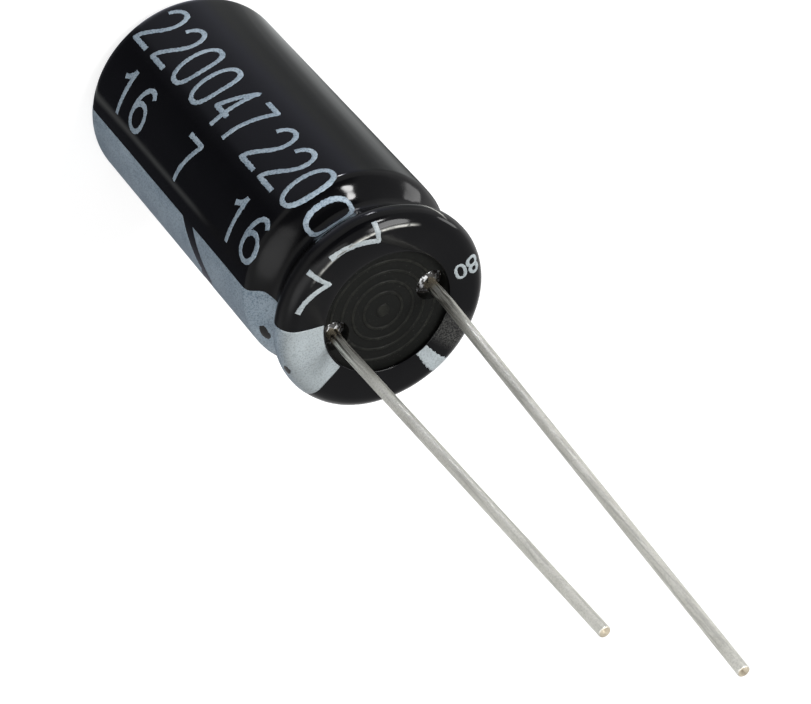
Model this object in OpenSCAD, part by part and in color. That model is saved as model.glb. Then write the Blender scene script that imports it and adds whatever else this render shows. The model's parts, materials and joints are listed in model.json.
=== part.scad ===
// Radial aluminium electrolytic capacitor, standing on its head with its leads up.
// Z = 0 is the plane that the head rests on; the axis of the case is the Z axis.

/* [Case] */
// Outer diameter of the drawn aluminium case
case_d = 10; // [9.6:0.1:12.5]
// Height of the case, from its head to the top of the curled rim
case_h = 20.8; // [19:0.2:26]
// Wall of the case
wall_t = 0.3; // [0.2:0.05:0.4]
// Thickness of the head
head_t = 0.4; // [0.25:0.05:0.5]
// Outer radius of the corner between head and wall
head_r = 0.8; // [0.5:0.1:1.2]
// Outer radius of the rim that is curled in over the seal
curl_r = 0.65; // [0.5:0.05:0.65]

/* [Vent] */
// From the head's rounded corner in to the end of each crossed score line
vent_inset = 1.2; // [0.8:0.1:2]
// Width of a score line at the surface
vent_w = 0.4; // [0.2:0.05:0.5]
// Depth of a score line
vent_depth = 0.2; // [0.1:0.02:0.22]

/* [Bead] */
// From the top of the rim down to the middle of the rolled groove
bead_drop = 2.3; // [2.3:0.05:2.5]
// Width of the groove at its mouth
bead_w = 3.2; // [2.4:0.1:3.2]
// Depth of the groove in the case
bead_depth = 0.95; // [0.6:0.05:1]

/* [Sleeve] */
// Wall of the shrunk plastic sleeve
sleeve_t = 0.1; // [0.08:0.01:0.15]
// How far the sleeve is folded in over the head, from its own side
head_fold = 1.4; // [1.1:0.05:1.7]
// How far the sleeve is folded in over the rim, from its own side
base_fold = 2; // [1.4:0.05:2.1]
// Depth of the sleeve's groove, which bridges the bead
sleeve_dip = 0.9; // [0.4:0.05:0.95]

/* [Polarity stripe] */
// Angle round the case of the middle of the printed stripe
stripe_at = 184; // [175:1:190]
// Width of the stripe, measured round the sleeve
stripe_w = 4.4; // [3:0.1:5]
// Thickness of the ink
ink_t = 0.01; // [0.01:0.005:0.02]
// Height of the printed arrow's point above the head plane
arrow_z = 12; // [9:0.2:15]
// Length of the arrow's head along the stripe
arrow_l = 1.2; // [0.8:0.1:2.4]
// Bare gap between the two printed fields, along the stripe
arrow_gap = 1; // [0.5:0.05:1.4]

/* [Seal] */
// Thickness of the rubber seal
seal_h = 4.2; // [4.1:0.1:4.6]
// Chamfer of the seal's inner edge
seal_c = 0.2; // [0.1:0.05:0.3]
// Chamfer of the seal's outer edge, inside the curled rim
boss_c = 0.1; // [0.05:0.01:0.15]
// From the top of the rim down to the seal's outer face
face_drop = 0.25; // [0.2:0.05:0.4]
// Number of moulded rings on the outer face
ring_count = 4; // [1:1:4]
// Radius of the innermost ring
ring_first = 0.95; // [0.6:0.05:1.1]
// Distance from one ring to the next
ring_step = 0.55; // [0.3:0.05:0.6]
// Radius of the round boss in the middle of the face
button_r = 0.33; // [0.2:0.01:0.4]
// Width of a ring at its foot
ring_w = 0.16; // [0.1:0.02:0.2]
// Height of the rings and the boss
ring_h = 0.04; // [0.02:0.01:0.08]

/* [Leads] */
// From the side of the case in to the axis of each lead; it gives the lead pitch
lead_inset = 2.5; // [2.3:0.05:2.7]
// Diameter of the tinned lead wire
wire_d = 0.55; // [0.45:0.05:0.65]
// Length of the positive lead above the seating plane
long_lead = 27; // [20:0.5:30]
// Length of the negative lead above the seating plane
short_lead = 22.3; // [15:0.5:25]
// Straight stretch of each lead above the seating plane, before it leans
lead_straight = 1; // [0.5:0.1:2]
// Radius of the gentle bend after the straight stretch
bend_r = 6; // [3:0.5:10]
// How much the wire's radius draws down where it is bent
bend_neck = 0.01; // [0.005:0.005:0.02]
// Angle by which the positive lead leans
long_lean_deg = 2.7; // [1:0.1:4]
// Angle round the axis towards which it leans
long_toward_deg = 198; // [160:1:200]
// Angle by which the negative lead leans
short_lean_deg = 1.3; // [1:0.1:4]
// Angle round the axis towards which it leans
short_toward_deg = 21; // [0:1:40]
// Chamfer of the cut end of a lead
tip_c = 0.08; // [0.04:0.01:0.12]

/* [Tabs] */
// Diameter of the aluminium stem that passes through the seal
stem_d = 1.5; // [1.3:0.05:1.6]
// From the seal's outer face down to the top of the stem
stem_drop = 0.5; // [0.45:0.05:0.7]
// Diameter of the weld that joins stem and wire
weld_d = 1.2; // [0.9:0.05:1.3]
// Height of the weld
weld_h = 0.35; // [0.2:0.05:0.4]
// Stretch of round stem below the seal
stem_below = 0.2; // [0.1:0.05:0.3]
// Width of the flattened blade inside the roll
tab_w = 2.2; // [1.6:0.1:2.6]
// Thickness of the blade
tab_t = 0.24; // [0.16:0.02:0.28]
// How far the blade stands out of the roll, towards the seal
tab_out = 0.2; // [0.1:0.05:0.3]
// From the roll's far edge to the end of the blade
tab_short = 2.4; // [1.5:0.1:6]

/* [Wound element] */
// Diameter of the hole that the winding pin leaves
core_d = 1.8; // [1.4:0.1:2.4]
// Thickness of the etched anode foil
anode_t = 0.11; // [0.08:0.01:0.12]
// Thickness of the cathode foil
cathode_t = 0.05; // [0.03:0.01:0.06]
// Thickness of one separator paper
paper_t = 0.05; // [0.04:0.01:0.06]
// Thickness of the tape that closes the roll
tape_t = 0.05; // [0.04:0.01:0.06]
// Room between the roll and the seal, where the tabs turn from stem to blade
roll_room = 1.5; // [1.2:0.1:3]
// How far each edge of the foils stays inside the papers
foil_inset = 1; // [0.5:0.1:1.5]
// How far each edge of the closing tape stays from the edges of the papers
tape_inset = 2.7; // [1:0.1:5]

/* [Clearances] */
// Between pieces that are pressed on or in each other
fit_gap = 0.01; // [0.005:0.005:0.02]
// Between two layers of the roll
film_gap = 0.01; // [0.005:0.005:0.015]
// Between the roll and the wall of the case
side_gap = 0.15; // [0.1:0.05:0.3]
// Between the roll and the inside of the head
end_gap = 0.2; // [0.1:0.05:0.3]

/* [Hidden] */
$fn = 64;

// Winding angles, in degrees, by which the foils start after and end before the papers
anode_lead_in = 180;
anode_lead_out = 360;
cathode_lead_in = 90;
cathode_lead_out = 90;

bend_reach = 0.5;
arc_steps = 8;
bead_steps = 16;
roll_step = 15;
eps = 0.01;

case_r = case_d / 2;
skin = sleeve_t + fit_gap;
case_z = skin;
rim_z = case_z + case_h;
seat_z = rim_z + skin;
bead_z = rim_z - bead_drop;
face_z = rim_z - face_drop;
seal_z = face_z - seal_h;
stem_z = face_z - stem_drop;
wire_z = stem_z + weld_h;
head_open_r = case_r + skin - head_fold;
base_open_r = case_r + skin - base_fold;
lead_pitch = case_d - 2 * lead_inset;
roll_z = case_z + head_t + end_gap;
roll_top = seal_z - roll_room;
paper_w = roll_top - roll_z;

// Points of an arc about [x, y], from angle a0 to angle a1
function arc(x, y, r, a0, a1) =
    [for (i = [0:arc_steps]) let (a = a0 + (a1 - a0) * i / arc_steps) [x + r * cos(a), y + r * sin(a)]];

// One side of the rolled groove, from its lower to its upper end: a cosine dip in a wall of radius r
function dip(r, depth) =
    [for (i = [0:bead_steps])
        let (t = -1 + 2 * i / bead_steps) [r - depth * (1 + cos(180 * t)) / 2, bead_z + t * bead_w / 2]];

function reversed(list) = [for (i = [len(list) - 1:-1:0]) list[i]];

// The outside of the case, grown by off, with a groove of the given depth; from the head's corner to the rim
function case_side(off, depth) = concat(
    arc(case_r - head_r, case_z + head_r, head_r + off, -90, 0),
    dip(case_r + off, depth),
    arc(case_r - curl_r, rim_z - curl_r, curl_r + off, 0, 90));

// Sleeve: one shrunk tube, folded over the head's corner and over the curled rim
module sleeve() {
    color("#15161a")
    rotate_extrude()
    polygon(concat(
        [[head_open_r, 0]],
        case_side(skin, sleeve_dip),
        [[base_open_r, seat_z], [base_open_r, seat_z - sleeve_t]],
        reversed(case_side(fit_gap, sleeve_dip)),
        [[head_open_r, sleeve_t]]));
}

// Keeps the wedge of a revolved shape that faces the stripe and lies above z0 and below z1
module stripe_wedge(z0, z1) {
    reach = 2 * case_d;
    half = stripe_w / 2 / (case_r + skin) * 180 / PI;
    translate([0, 0, z0])
    rotate([0, 0, stripe_at])
    linear_extrude(z1 - z0)
    polygon([[0, 0], [reach * cos(half), -reach * sin(half)], [reach, 0],
             [reach * cos(half), reach * sin(half)]]);
}

// Prism that cuts the bare arrow between two fields, seen along the stripe's middle
module arrow_cut() {
    reach = 2 * case_d;
    wide = stripe_w;
    rise = arrow_l * wide / (stripe_w / 2);
    rotate([0, 0, stripe_at])
    rotate([90, 0, 90])
    linear_extrude(reach)
    polygon([[0, arrow_z], [wide, arrow_z - rise], [wide, arrow_z - rise + arrow_gap],
             [0, arrow_z + arrow_gap], [-wide, arrow_z - rise + arrow_gap], [-wide, arrow_z - rise]]);
}

// Polarity stripe: pale ink on the sleeve, from the head's corner over the groove and rim to the base opening
module polarity_stripe() {
    off = skin + fit_gap / 2;
    color("#8d9bab")
    difference() {
        intersection() {
            rotate_extrude()
            polygon(concat(
                case_side(off + ink_t, sleeve_dip),
                [[base_open_r, rim_z + off + ink_t], [base_open_r, rim_z + off]],
                reversed(case_side(off, sleeve_dip))));
            stripe_wedge(case_z, seat_z + 1);
        }
        arrow_cut();
    }
}

// Case: drawn cup with a scored head, a rolled groove and a rim curled in over the seal
module case() {
    lip_r = case_r - 2 * curl_r;
    color("#c9ccd0")
    difference() {
        rotate_extrude()
        polygon(concat(
            [[0, case_z]],
            case_side(0, bead_depth),
            arc(case_r - curl_r, rim_z - curl_r, curl_r, 90, 180),
            [[lip_r + wall_t, rim_z - curl_r]],
            arc(case_r - curl_r, rim_z - curl_r, curl_r - wall_t, 180, 0),
            reversed(dip(case_r - wall_t, bead_depth)),
            arc(case_r - head_r, case_z + head_r + max(0, head_t - wall_t), head_r - wall_t, 0, -90),
            [[0, case_z + head_t]]));
        for (turn = [45, 135])
            rotate([0, 0, turn])
            vent_score();
    }
}

// One score line: a triangular prism that lies in the head's outer face
module vent_score() {
    half_l = case_r - head_r - vent_inset;
    translate([-half_l, 0, case_z])
    rotate([90, 0, 90])
    linear_extrude(2 * half_l)
    polygon([[-vent_w / 2, 0], [vent_w / 2, 0], [0, vent_depth]]);
}

// Half-outline of one moulded ring of the seal at radius r
function ring(r) = [
    [r - ring_w / 2, face_z], [r - ring_w / 4, face_z + ring_h],
    [r + ring_w / 4, face_z + ring_h], [r + ring_w / 2, face_z]];

// Seal: moulded rubber bung, waisted by the bead, with a shoulder under the curled rim and two lead holes
module seal() {
    seal_r = case_r - wall_t - fit_gap;
    boss_r = case_r - 2 * curl_r - fit_gap;
    shoulder_z = rim_z - curl_r - fit_gap;
    rings = [for (i = [ring_count - 1:-1:0]) each reversed(ring(ring_first + ring_step * i))];
    color("#24231f")
    difference() {
        rotate_extrude()
        polygon(concat(
            [[0, seal_z], [seal_r - seal_c, seal_z], [seal_r, seal_z + seal_c]],
            dip(seal_r, bead_depth),
            [[seal_r, shoulder_z], [boss_r, shoulder_z], [boss_r, face_z - boss_c], [boss_r - boss_c, face_z]],
            rings,
            [[button_r, face_z], [button_r - ring_h, face_z + ring_h], [0, face_z + ring_h]]));
        for (side = [-1, 1])
            translate([side * lead_pitch / 2, 0, seal_z - eps])
            cylinder(h = seal_h + ring_h + 2 * eps, d = stem_d + 2 * fit_gap);
    }
}

// Bend: a stretch of torus from upright to leaning, whose ends reach a little way into both straight stretches
module bend(lean) {
    translate([bend_r, 0, 0])
    rotate([90, 0, 180])
    rotate([0, 0, -bend_reach])
    rotate_extrude(angle = lean + 2 * bend_reach)
    translate([bend_r, 0])
    circle(d = wire_d - 2 * bend_neck);
}

// Lead: tinned wire, straight out of the seal, then gently bent to lean by an angle
module lead(side, length, lean, toward) {
    bend_z = seat_z + lead_straight;
    rest = length - lead_straight - bend_r * lean * PI / 180 - tip_c;
    color("#b9bab6")
    translate([side * lead_pitch / 2, 0, bend_z])
    rotate([0, 0, toward]) {
        translate([0, 0, wire_z - bend_z])
        cylinder(h = bend_z - wire_z, d = wire_d);
        bend(lean);
        translate([bend_r * (1 - cos(lean)), 0, bend_r * sin(lean)])
        rotate([0, lean, 0]) {
            cylinder(h = rest, d = wire_d);
            translate([0, 0, rest])
            cylinder(h = tip_c, d1 = wire_d, d2 = wire_d - 2 * tip_c);
        }
    }
}

module positive_lead() lead(1, long_lead, long_lean_deg, long_toward_deg);
module negative_lead() lead(-1, short_lead, short_lean_deg, short_toward_deg);

// The roll: layers of one turn, from the core outwards, each between two heights in the pitch
inner_paper_h = anode_t + film_gap;
cathode_h = inner_paper_h + paper_t + film_gap;
outer_paper_h = cathode_h + cathode_t + film_gap;
roll_pitch = outer_paper_h + paper_t + film_gap;
roll_r = case_r - wall_t - side_gap;
turns = floor((roll_r - tab_t - film_gap - tape_t - core_d / 2) / roll_pitch) - 1;
roll_end = 360 * turns;

// A tab's winding angle: the turn whose radius is nearest to its lead, at the given place round the axis
function tab_angle(place, height) =
    360 * round((lead_pitch / 2 - tab_t / 2 - height - core_d / 2) / roll_pitch - place / 360) + place;
anode_tab = tab_angle(0, anode_t);
cathode_tab = tab_angle(180, cathode_h + cathode_t);
tab_half = asin(tab_w / lead_pitch);
lift_half = ceil(tab_half / roll_step) * roll_step;

// Angle from place b to place a the short way round
function turned(a, b) = let (d = (a - b) % 360) d > 180 ? d - 360 : d < -180 ? d + 360 : d;

// How far a tab at winding angle b and height h_tab lifts the film at angle a and height h
function lift(a, h, b, h_tab) =
    (a > b + 180 || (a > b - 180 && h > h_tab))
        ? (tab_t + film_gap) * max(0, min(1, (lift_half + roll_step - abs(turned(a, b))) / roll_step))
        : 0;

// Radius of the roll at winding angle a and height h in the pitch, over the tabs wound in so far
function film_r(a, h) = core_d / 2 + roll_pitch * a / 360 + h
    + lift(a, h, anode_tab, anode_t)
    + lift(a, h, cathode_tab, cathode_h + cathode_t);

// The same radius on the straight facet between two steps of the roll
function facet_r(a, h) =
    let (a0 = floor(a / roll_step) * roll_step, r0 = film_r(a0, h), r1 = film_r(a0 + roll_step, h))
    r0 * r1 * sin(roll_step) / (r1 * sin(a0 + roll_step - a) + r0 * sin(a - a0));

function polar(r, a) = [r * cos(a), r * sin(a)];

// One film of the roll, between heights h0 and h1 in the pitch and two winding angles
module film(h0, h1, from, to) {
    polygon(concat(
        [for (a = [from:roll_step:to]) polar(film_r(a, h0), a)],
        [for (a = [to:-roll_step:from]) polar(film_r(a, h1), a)]));
}

// Anode foil: starts and ends well inside the papers
module anode_foil() {
    color("#9aa0a3")
    translate([0, 0, roll_z + foil_inset])
    linear_extrude(paper_w - 2 * foil_inset)
    film(0, anode_t, anode_lead_in, roll_end - anode_lead_out);
}

// Cathode foil: longer than the anode at both ends
module cathode_foil() {
    color("#b5b9bb")
    translate([0, 0, roll_z + foil_inset])
    linear_extrude(paper_w - 2 * foil_inset)
    film(cathode_h, cathode_h + cathode_t, cathode_lead_in, roll_end - cathode_lead_out);
}

module separator(h) {
    color("#cbb58a")
    translate([0, 0, roll_z])
    linear_extrude(paper_w)
    film(h, h + paper_t, 0, roll_end);
}

module inner_separator() separator(inner_paper_h);
module outer_separator() separator(outer_paper_h);

// Closing tape: one turn round the finished roll
module closing_tape() {
    color("#d8c98f")
    translate([0, 0, roll_z + tape_inset])
    linear_extrude(paper_w - 2 * tape_inset)
    film(0, tape_t, roll_end, roll_end + 360);
}

// Section of a blade: it lies on the foil's facets at height h and takes their curve
module blade(b, h) {
    angles = [b - tab_half,
              for (a = [b - lift_half:roll_step:b + lift_half]) if (abs(a - b) < tab_half) a,
              b + tab_half];
    polygon(concat(
        [for (a = angles) polar(facet_r(a, h) + film_gap, a)],
        [for (a = reversed(angles)) polar(facet_r(a, h) + film_gap + tab_t, a)]));
}

// Weld: a dome on the stem, with a flat top as wide as the wire that stands on it
module weld() {
    top = acos(wire_d / weld_d);
    rotate_extrude()
    polygon([[0, 0],
             for (i = [0:arc_steps]) let (a = top * i / arc_steps)
                 [weld_d / 2 * cos(a), weld_h * sin(a) / sin(top)],
             [0, weld_h]]);
}

// Tab: round stem in the seal with the weld on top, flattened below into the blade in the roll
module tab(side, b, h) {
    stem_foot = seal_z - stem_below;
    blade_foot = roll_z + tab_short;
    blade_top = roll_top + tab_out;
    color("#a9acad") {
        translate([side * lead_pitch / 2, 0, stem_foot])
        cylinder(h = stem_z - stem_foot, d = stem_d);
        translate([side * lead_pitch / 2, 0, stem_z])
        weld();
        hull() {
            translate([side * lead_pitch / 2, 0, stem_foot])
            cylinder(h = eps, d = stem_d, $fn = 32);
            translate([0, 0, blade_top])
            linear_extrude(eps)
            blade(b, h);
        }
        translate([0, 0, blade_foot])
        linear_extrude(blade_top + eps - blade_foot)
        blade(b, h);
    }
}

module positive_tab() tab(1, anode_tab, anode_t);
module negative_tab() tab(-1, cathode_tab, cathode_h + cathode_t);

sleeve();
polarity_stripe();
case();
seal();
positive_lead();
negative_lead();
positive_tab();
negative_tab();
anode_foil();
cathode_foil();
inner_separator();
outer_separator();
closing_tape();
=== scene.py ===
# %% [markdown]
# A radial electrolytic capacitor, dressed in Blender.
# The solids come ready made from CAD and stay where they are: this file only adds what a CAD solid lacks,
# which is the shrunk film with its wrinkles, the print on it, the drawn wires, and every finish.
# First the packed model is loaded, and its box is kept, so that at the end it can be seen that nothing grew.

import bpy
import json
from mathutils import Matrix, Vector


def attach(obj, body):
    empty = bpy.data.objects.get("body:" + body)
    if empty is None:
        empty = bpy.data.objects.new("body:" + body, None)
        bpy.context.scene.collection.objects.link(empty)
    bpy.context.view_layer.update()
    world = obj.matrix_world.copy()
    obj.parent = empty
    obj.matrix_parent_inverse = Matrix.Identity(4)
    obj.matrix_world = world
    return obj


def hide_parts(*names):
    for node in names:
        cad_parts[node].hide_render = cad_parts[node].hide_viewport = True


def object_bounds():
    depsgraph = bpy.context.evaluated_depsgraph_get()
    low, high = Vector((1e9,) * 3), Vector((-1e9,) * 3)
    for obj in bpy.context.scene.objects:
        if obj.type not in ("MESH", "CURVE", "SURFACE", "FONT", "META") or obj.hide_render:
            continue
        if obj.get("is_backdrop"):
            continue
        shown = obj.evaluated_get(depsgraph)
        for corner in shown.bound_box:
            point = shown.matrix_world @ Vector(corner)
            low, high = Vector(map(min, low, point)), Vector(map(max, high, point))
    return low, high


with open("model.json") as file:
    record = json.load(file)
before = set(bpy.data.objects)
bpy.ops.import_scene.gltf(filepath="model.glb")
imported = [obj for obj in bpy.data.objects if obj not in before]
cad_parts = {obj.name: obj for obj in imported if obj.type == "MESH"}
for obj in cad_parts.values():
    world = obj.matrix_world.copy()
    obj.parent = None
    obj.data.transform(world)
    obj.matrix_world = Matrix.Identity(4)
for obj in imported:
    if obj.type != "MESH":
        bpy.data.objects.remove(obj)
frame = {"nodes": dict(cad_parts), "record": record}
cad_box = [list(corner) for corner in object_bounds()]

import json
import math
import random

import bpy
from mathutils import Matrix, Vector

MM = 0.001
print("nodes:", ", ".join(sorted(frame["nodes"])))

# %% [markdown]
# Every tree of nodes below, for shapes and for finishes, is written with the same two helpers.
# `Wire` is one output socket: arithmetic on it adds the Math nodes, so a rule reads as it does on paper.
# `Graph.add` makes any other node: its settings first, because they decide which sockets it has, then its values.
# The trees could be wired by hand in the editor. They are written out so that each rule can be read and changed.

# %% Helpers for node trees
class Wire:
    """One output socket of a tree. Adding, multiplying and so on adds a Math node."""

    def __init__(self, graph, socket):
        self.graph, self.socket = graph, socket

    def math(self, operation, *values):
        return self.graph.add("ShaderNodeMath", {"operation": operation}, values)

    def __add__(self, other):
        return self.math("ADD", self, other)

    def __sub__(self, other):
        return self.math("SUBTRACT", self, other)

    def __rsub__(self, other):
        return self.math("SUBTRACT", other, self)

    def __mul__(self, other):
        return self.math("MULTIPLY", self, other)

    def __truediv__(self, other):
        return self.math("DIVIDE", self, other)

    def __pow__(self, other):
        return self.math("POWER", self, other)

    __radd__, __rmul__ = __add__, __mul__

    def step(self, low, high):
        """0 below low, 1 above high, and smooth between them."""
        settings = {"interpolation_type": "SMOOTHSTEP"}
        return self.graph.add("ShaderNodeMapRange", settings, {"Value": self, "From Min": low, "From Max": high})

    def step_mm(self, low, high):
        """The same between two lengths in millimetres."""
        return self.step(low * MM, high * MM)


class Graph:
    """A node tree, one method that adds any node to it, and short forms for the common ones."""

    def __init__(self, tree):
        self.tree = tree

    def put(self, socket, value):
        if isinstance(value, Wire):
            self.tree.links.new(value.socket, socket)
        else:
            socket.default_value = value

    def add(self, kind, settings=None, values=(), out=0):
        node = self.tree.nodes.new(kind)
        for name, value in (settings or {}).items():
            if name == "stops":
                ramp = node.color_ramp
                while len(ramp.elements) < len(value):
                    ramp.elements.new(1)
                for element, (place, colour) in zip(ramp.elements, value):
                    element.position, element.color = place, (*colour, 1)
            else:
                setattr(node, name, value)
        named = {s.identifier: s for s in node.inputs}
        named.update({s.name: s for s in reversed(node.inputs) if s.enabled})
        shown = [s for s in node.inputs if s.enabled]
        pairs = values.items() if isinstance(values, dict) else enumerate(values)
        for key, value in pairs:
            self.put(shown[key] if isinstance(key, int) else named[key], value)
        results = node.outputs if isinstance(out, str) else [s for s in node.outputs if s.enabled]
        return Wire(self, results[out]) if len(node.outputs) else None

    def split(self, vector):
        part = self.add("ShaderNodeSeparateXYZ", None, [vector])
        return [Wire(self, s) for s in part.socket.node.outputs]

    def join(self, x, y, z):
        return self.add("ShaderNodeCombineXYZ", None, [x, y, z])

    def mix(self, share, low, high):
        """One colour at share 0 and the other at share 1."""
        low, high = [c if isinstance(c, Wire) else (*c, 1) for c in (low, high)]
        settings = {"data_type": "RGBA"}
        return self.add("ShaderNodeMix", settings, {"Factor_Float": share, "A_Color": low, "B_Color": high}, "Result")

    def noise(self, where, scale, detail):
        """Smooth noise from 0 to 1; scale is in waves to the metre."""
        return self.add("ShaderNodeTexNoise", None, {"Vector": where, "Scale": scale, "Detail": detail})


print("helpers for node trees: Wire with", ", ".join(name for name in vars(Wire) if name[0] != "_"))

# %% [markdown]
# The camera stands where the photographer's stood: above the lead end, close, with a long lens.
# It could be nudged until it looks right. Instead its three directions were worked out from the can's circles in
# the photograph and from where the wires point, because then the outlines can be laid over each other.

# %% Camera
cam_data = bpy.data.cameras.new("camera")
cam_data.lens, cam_data.sensor_width, cam_data.sensor_fit = 150.427, 36, "HORIZONTAL"
cam_data.clip_start, cam_data.clip_end = 0.01, 10
camera = bpy.data.objects.new("camera", cam_data)
image_right = Vector((0.85910, -0.19642, 0.47262))
image_up = Vector((0.45673, 0.71096, -0.53473))
towards_eye = Vector((-0.23098, 0.67524, 0.70050))
turn = Matrix((image_right, image_up, towards_eye)).transposed()
eye = Vector((-34.5205, 99.4767, 126.8737)) * MM
camera.matrix_world = Matrix.LocRotScale(eye, turn.to_quaternion(), None)
bpy.context.scene.collection.objects.link(camera)
bpy.context.scene.camera = camera
bpy.context.scene.view_settings.view_transform = "Standard"
print("camera stands", round(camera.location.length / MM), "mm from the middle of the head")

# %% [markdown]
# The floor is a pale sheet. Photographed from here it has to read as pure white and still hold a shadow,
# so it is a matt sheet that the lamps light, with some light of its own for the eye.
# Glossy film shows hardly anything but what it mirrors, and from up here that is the sheet round the can.
# So mirrors see the sheet as a studio table: bright on one side, dark on the other with one thin bright strip near
# the can, in shares listed for each direction, a little bluer on the dark side, and evenly bright further off.
# Real things could stand round the can instead. A table of shares was chosen because each entry answers to one side
# of the can. One small spot of light puts a glint on the shoulder of the groove.
# The world does much the same: white to look at, and a plain soft grey to be lit by, with a darker side for mirrors
# low down behind the camera, which turns the rim's outer bend black there.

# %% Floor and world
def new_mesh(name, points, faces, edges=()):
    mesh = bpy.data.meshes.new(name)
    mesh.from_pydata(points, edges, faces)
    mesh.update()
    piece = bpy.data.objects.new(name, mesh)
    bpy.context.scene.collection.objects.link(piece)
    return piece


floor_half, floor_z = 1.5, -0.02 * MM
corners = [(x * floor_half, y * floor_half, floor_z) for x, y in ((-1, -1), (1, -1), (1, 1), (-1, 1))]
floor = new_mesh("floor", corners, [(0, 1, 2, 3)])
floor_paint = bpy.data.materials.new("floor_paint")
floor_paint.use_nodes = True
floor_paint.node_tree.nodes.clear()
g = Graph(floor_paint.node_tree)
x, y, _ = g.split(g.add("ShaderNodeTexCoord", None, (), "Object"))
hub = (-0.6 * MM, 3.2 * MM)
angle = x.math("ARCTAN2", y - hub[1], x - hub[0]) / math.tau
angle = angle.math("FRACT", angle + 1)
# Azimuth in degrees and share of light.
table = [(0, 0.34), (11, 0.34), (21, 0.48), (33, 0.57), (42, 0.54), (52, 0.48), (90, 0.50), (110, 0.42), (118, 0.20),
         (131, 0.11), (165, 0.13), (187, 0.10), (191, 0.70), (195, 0.10), (207, 0.08), (250, 0.20), (290, 0.05),
         (307, 0.06), (318, 0.12), (326, 0.30), (335, 0.57), (344, 0.61), (353, 0.40)]
strip_az, strip_edges, strip_fade = 191, (4, 6), (13.5, 16.5)
blue_side, blue = (25, 260), 1.18
blueness = [blue if blue_side[0] < at < blue_side[1] and at != strip_az else 1.0 for at, _ in table]
stops = [(at / 360, (share * 0.97, share, share * more)) for (at, share), more in zip(table, blueness)]
near_by = g.add("ShaderNodeValToRGB", {"stops": stops}, [angle])
distance = (x * x + y * y) ** 0.5
inner, outer = strip_edges
degrees = angle * 360
on_strip = degrees.step(strip_az - outer, strip_az - inner) * (1 - degrees.step(strip_az + inner, strip_az + outer))
beyond_strip, far_table, spot_tint = (0.10, 0.10, 0.11), (0.75, 0.75, 0.75), (0.6, 0.6, 0.58)
near_by = g.mix(distance.step_mm(*strip_fade) * on_strip, near_by, beyond_strip)
far_off = distance.step_mm(24, 40)
mirrored = g.mix(far_off, near_by, far_table)
spot_x, spot_y, spot_r, spot_light = 13.2 * MM, 20.6 * MM, 1.0 * MM, 130
spot = ((x - spot_x) * (x - spot_x) + (y - spot_y) * (y - spot_y)) / (spot_r * spot_r)
spot = spot.math("EXPONENT", spot * -1)
mirrored = g.mix(spot, mirrored, spot_tint)
mirror_light = spot * spot_light + 1


def light_path(g, *kinds):
    """1 for rays of these kinds and 0 for the rest."""
    path = g.add("ShaderNodeLightPath").socket.node.outputs
    return sum((Wire(g, path[kind]) for kind in kinds[1:]), Wire(g, path[kinds[0]]))


matt = g.add("ShaderNodeBsdfDiffuse", None, {"Color": (0.4, 0.4, 0.4, 1)})
glow = g.add("ShaderNodeEmission", None, {"Strength": light_path(g, "Is Camera Ray") * 0.8})
paper = g.add("ShaderNodeAddShader", None, [matt, glow])
mirror = g.add("ShaderNodeEmission", None, {"Color": mirrored, "Strength": mirror_light})
in_mirrors = light_path(g, "Is Glossy Ray", "Is Transmission Ray")
g.add("ShaderNodeOutputMaterial", None, {"Surface": g.add("ShaderNodeMixShader", None, [in_mirrors, paper, mirror])})
floor.data.materials.append(floor_paint)
floor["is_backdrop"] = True

world = bpy.data.worlds.new("studio")
world.use_nodes = True
world.node_tree.nodes.clear()
g = Graph(world.node_tree)
lit_by, mirror_gain, mirror_loss = 0.45, 0.1, 0.45
in_mirrors = light_path(g, "Is Glossy Ray", "Is Transmission Ray")
x, y, z = g.split(g.add("ShaderNodeTexCoord", None, (), "Generated"))
dark_side = (y - x * 0.2).step(0.55, 0.75) * (1 - z.step(0.45, 0.60))
strength = light_path(g, "Is Camera Ray") * (1 - lit_by) + lit_by
strength = strength + in_mirrors * (mirror_gain - dark_side * mirror_loss)
backdrop = g.add("ShaderNodeBackground", None, {"Color": (1, 1, 1, 1), "Strength": strength})
g.add("ShaderNodeOutputWorld", None, {"Surface": backdrop})
bpy.context.scene.world = world
print("floor", 2 * floor_half, "m across")

# %% [markdown]
# Two soft boxes do the lighting. The strong one stands to the right and rather high, where the photograph's bright
# side is, and the weaker, wider one stands behind the camera. They are placed by the way they are seen from the can.
# Three panes lower down only show in glossy surfaces, as windows do: they give the film its glints, and the groove
# a soft sheen on its left side. The glints could be painted on, but lamps that are mirrored move over the film as
# they should when the view turns.

# %% Lamps
middle_of_can = Vector((0, 0, 20)) * MM
pane_distance = 0.5


def soft_box(name, azimuth, elevation, distance, size, power):
    """A round area lamp that faces the can; its size and distance are in metres."""
    lamp = bpy.data.lights.new(name, "AREA")
    lamp.shape, lamp.size, lamp.energy = "DISK", size, power
    box = bpy.data.objects.new(name, lamp)
    a, e = math.radians(azimuth), math.radians(elevation)
    way = Vector((math.cos(a) * math.cos(e), math.sin(a) * math.cos(e), math.sin(e)))
    box.location = middle_of_can + way * distance
    box.rotation_euler = way.to_track_quat("Z", "Y").to_euler()
    bpy.context.scene.collection.objects.link(box)
    return box


boxes = [soft_box("key_box", 35, 50, 0.6, 0.30, 2.6), soft_box("fill_box", 120, 62, 0.8, 0.5, 1.0)]
panes = {"bright_pane": (57, 24, 0.07, 0.55), "right_pane": (355, 2, 0.16, 0.26), "left_pane": (153, 32, 0.42, 0.85)}
for name, (azimuth, elevation, size, power) in panes.items():
    pane = soft_box(name, azimuth, elevation, pane_distance, size, power)
    pane.visible_diffuse = pane.visible_camera = False
    boxes.append(pane)
print("lamps:", ", ".join(box.name for box in boxes))

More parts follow.
